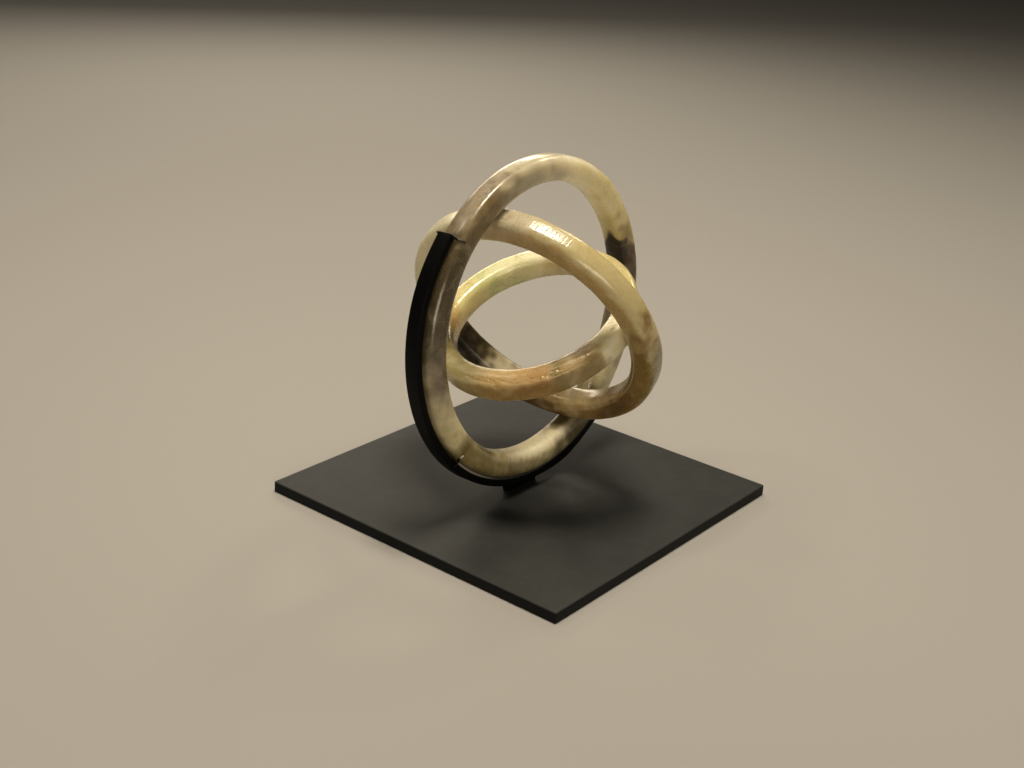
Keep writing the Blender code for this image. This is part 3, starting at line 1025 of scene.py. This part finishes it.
class JADE_OT_cradle(Operator):
    """Build the bent strip, its lining and the foot under it"""

    bl_idname = "jade.cradle"
    bl_label = "Cradle"

    # The paint's dust, and where along X the lining's painted shade begins and where it covers all
    DUST = (0.006, 0.0055, 0.005)
    PAINTED_SHADE = (-42.0 * MM, -20.0 * MM)

    def execute(self, context):
        settings = context.scene.jade_cradle
        look = {"roughness": 0.42, "grain": 2600.0, "gloss": 0.14}
        paint = paint_finish("cradle_paint", settings.strip_colour, self.DUST, **look)
        corner, steps = settings.strip_corner, settings.strip_steps
        strip = bent_strip("cradle", "cradle_strip", corner, 0.0, steps)
        strip.set_sharp_from_angle(angle=STRIP_SHARP)
        add_piece(strip, paint, "cradle_paint", "cradle")
        felt = felt_finish("liner_felt", settings.felt_colour, *self.PAINTED_SHADE)
        swell = settings.lining_swell
        lining = bent_strip("cradle_liner", "cradle_lining", LINING_EDGE, swell, steps)
        add_piece(lining, felt, "liner_felt", "cradle_liner")
        low, high = (np.array(place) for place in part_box("foot"))
        low[2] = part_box("base_plate")[1][2]
        high[2] += settings.foot_overlap
        foot = plate_surface("foot_bar", low, high, corner, FOOT_EDGE)
        foot.set_sharp_from_angle(angle=STRIP_SHARP)
        add_piece(foot, paint, "cradle_paint", "foot")
        return {"FINISHED"}


class JADE_OT_prongs(Operator):
    """Bend the four wire prongs round the outer ring"""

    bl_idname = "jade.prongs"
    bl_label = "Prongs"

    # Where the bare wire and the coated tip begin, and where the tip swells, as shares of length
    WIRE_FROM = 0.3
    TIP_FROM = 0.62
    SWELL = (0.6, 0.95)

    def execute(self, context):
        settings = context.scene.jade_prongs
        painted = context.scene.jade_cradle.strip_colour
        wire = wire_finish("prong_wire", painted, settings.wire_colour, self.WIRE_FROM)
        tip = wire_finish("prong_tip", painted, settings.tip_colour, self.TIP_FROM)
        upper = ("upper", "prong_wire", wire, 0.0)
        lower = ("lower", "prong_tip", tip, settings.tip_swell)
        for place in ("front", "back"):
            for level, slot, material, swell in (upper, lower):
                node = level + "_prong_" + place
                path = prong_path(node, context.scene.jade_rings.squareness, settings.wire_radius)
                thicker = swell * rise(np.linspace(0.0, 1.0, len(path)), *self.SWELL)
                mesh = wire_tube(node + "_wire", path, settings.wire_radius * (1.0 + thicker))
                add_piece(mesh, material, slot, node)
        return {"FINISHED"}


class JADE_OT_plate(Operator):
    """Build the square base plate"""

    bl_idname = "jade.plate"
    bl_label = "Base Plate"

    # How much paler the dust is than the paint, and how far below the top face it ends and the painted
    # shade of the sides begins
    DUST_SHARE = 1.7
    DUST_SHADE_DEPTH = 0.45 * MM

    def execute(self, context):
        settings = context.scene.jade_plate
        low, high = (np.array(corner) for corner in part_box("base_plate"))
        plate = plate_surface("base_plate_panel", low, high, settings.corner, settings.bevel)
        plate.set_sharp_from_angle(angle=PLATE_SHARP)
        dust = self.DUST_SHARE * np.array(settings.colour)
        look = {"roughness": 0.45, "grain": 2200.0, "gloss": 0.25}
        # Below this height the plate's sides get painted shade instead of dust
        dust_above_shade_below = high[2] - self.DUST_SHADE_DEPTH
        paint = paint_finish("plate_paint", settings.colour, dust, dust_above_shade_below=dust_above_shade_below, **look)
        add_piece(plate, paint, "plate_paint", "base_plate")
        return {"FINISHED"}


class JADE_OT_stage(Operator):
    """Lay a plain floor and set up the lights and the camera"""

    bl_idname = "jade.stage"
    bl_label = "Stage"

    CAMERA_POSITION = Vector((-0.48731, -0.36596, 0.30428))
    CAMERA_AIM = Vector((0.73181, 0.56547, -0.38040))
    CAMERA_ROLL = math.radians(3.68)
    CAMERA_LENS = 52.0
    FLOOR_POINTS = 9
    CENTRE = Vector((0.0, 0.0, 0.07))
    LAMP_COLOUR = (1.0, 0.89, 0.73)
    ROOM_COLOUR = (1.0, 0.93, 0.82, 1.0)

    # Each light's name, direction from the rings, distance, width, height and power in watts
    LIGHTS = (
        ("key_light", (-0.02, -0.04, 1.0), 1.1, 0.32, 0.32, 13.0),
        ("back_light", (0.0, 0.75, 0.95), 1.3, 1.0, 0.18, 1.2),
        ("side_light", (1.0, 0.12, 0.95), 1.2, 0.2, 0.2, 1.6),
        ("glint_light", (-0.34, 0.48, 0.81), 1.2, 0.2, 0.2, 1.1),
        ("low_light", (0.62, 0.82, 0.40), 1.3, 0.9, 0.25, 3.6),
        ("front_light", (-0.75, -0.85, 0.16), 1.3, 0.9, 0.5, 5.2),
    )

    def light(self, name, direction, distance, width, height, power):
        lamp = bpy.data.lights.new(name, "AREA")
        lamp.shape = "ELLIPSE"
        lamp.size = width
        lamp.size_y = height
        lamp.energy = power
        lamp.color = self.LAMP_COLOUR
        item = bpy.data.objects.new(name, lamp)
        direction = Vector(direction).normalized()
        item.location = self.CENTRE + direction * distance
        item.rotation_euler = direction.to_track_quat("Z", "Y").to_euler()
        bpy.context.scene.collection.objects.link(item)

    def execute(self, context):
        settings = context.scene.jade_stage
        half = settings.floor_size / 2.0
        spread = np.linspace(-half, half, self.FLOOR_POINTS)
        points = np.stack(np.meshgrid(spread, spread, 0.0, indexing="ij"), axis=-1)
        quads = grid_quads(self.FLOOR_POINTS, self.FLOOR_POINTS, False, False)
        mesh = make_mesh("floor", points, quads)
        finish = Finish("floor_paper", Roughness=0.9)
        tooth = finish.noise(900.0, 3.0, 0.6)
        tint = np.array(settings.floor_colour)
        finish.set("Base Color", finish.mix(tooth * 0.2, tint, 0.94 * tint))
        mesh.materials.append(finish.material)
        floor = bpy.data.objects.new("floor", mesh)
        context.scene.collection.objects.link(floor)

        world = bpy.data.worlds.new("room")
        world.use_nodes = True
        background = world.node_tree.nodes["Background"]
        background.inputs["Color"].default_value = self.ROOM_COLOUR
        background.inputs["Strength"].default_value = settings.room_strength
        context.scene.world = world
        context.scene.view_settings.view_transform = "Standard"
        context.scene.view_settings.gamma = settings.gamma
        for light in self.LIGHTS:
            self.light(*light)

        lens = bpy.data.cameras.new("camera")
        lens.lens = self.CAMERA_LENS
        camera = bpy.data.objects.new("camera", lens)
        turn = self.CAMERA_AIM.to_track_quat("-Z", "Y").to_matrix().to_4x4()
        roll = Matrix.Rotation(self.CAMERA_ROLL, 4, "Z")
        camera.matrix_world = Matrix.Translation(self.CAMERA_POSITION) @ turn @ roll
        context.scene.collection.objects.link(camera)
        context.scene.camera = camera
        return {"FINISHED"}


class JADE_PT_panel(Panel):
    """The jade rings' settings and the buttons that build them"""

    bl_idname = "JADE_PT_panel"
    bl_label = "Jade Rings"
    bl_space_type = "VIEW_3D"
    bl_region_type = "UI"
    bl_category = "Jade Rings"

    def draw(self, context):
        for operator, group in STEPS:
            box = self.layout.box()
            box.operator(operator)
            settings = getattr(context.scene, group)
            for name in type(settings).__annotations__:
                box.prop(settings, name)


STEPS = (
    ("jade.rings", "jade_rings"),
    ("jade.cradle", "jade_cradle"),
    ("jade.prongs", "jade_prongs"),
    ("jade.plate", "jade_plate"),
    ("jade.stage", "jade_stage"),
)

GROUPS = {
    "jade_rings": RingSettings,
    "jade_cradle": CradleSettings,
    "jade_prongs": ProngSettings,
    "jade_plate": PlateSettings,
    "jade_stage": StageSettings,
}

CLASSES = (
    *GROUPS.values(),
    JADE_OT_rings,
    JADE_OT_cradle,
    JADE_OT_prongs,
    JADE_OT_plate,
    JADE_OT_stage,
    JADE_PT_panel,
)


def register():
    for item in CLASSES:
        bpy.utils.register_class(item)
    for name, group in GROUPS.items():
        setattr(bpy.types.Scene, name, PointerProperty(type=group))


def unregister():
    for name in GROUPS:
        delattr(bpy.types.Scene, name)
    for item in reversed(CLASSES):
        bpy.utils.unregister_class(item)


def main():
    register()
    bpy.ops.jade.rings()
    bpy.ops.jade.cradle()
    bpy.ops.jade.prongs()
    bpy.ops.jade.plate()
    bpy.ops.jade.stage()


if __name__ == "__main__":
    main()
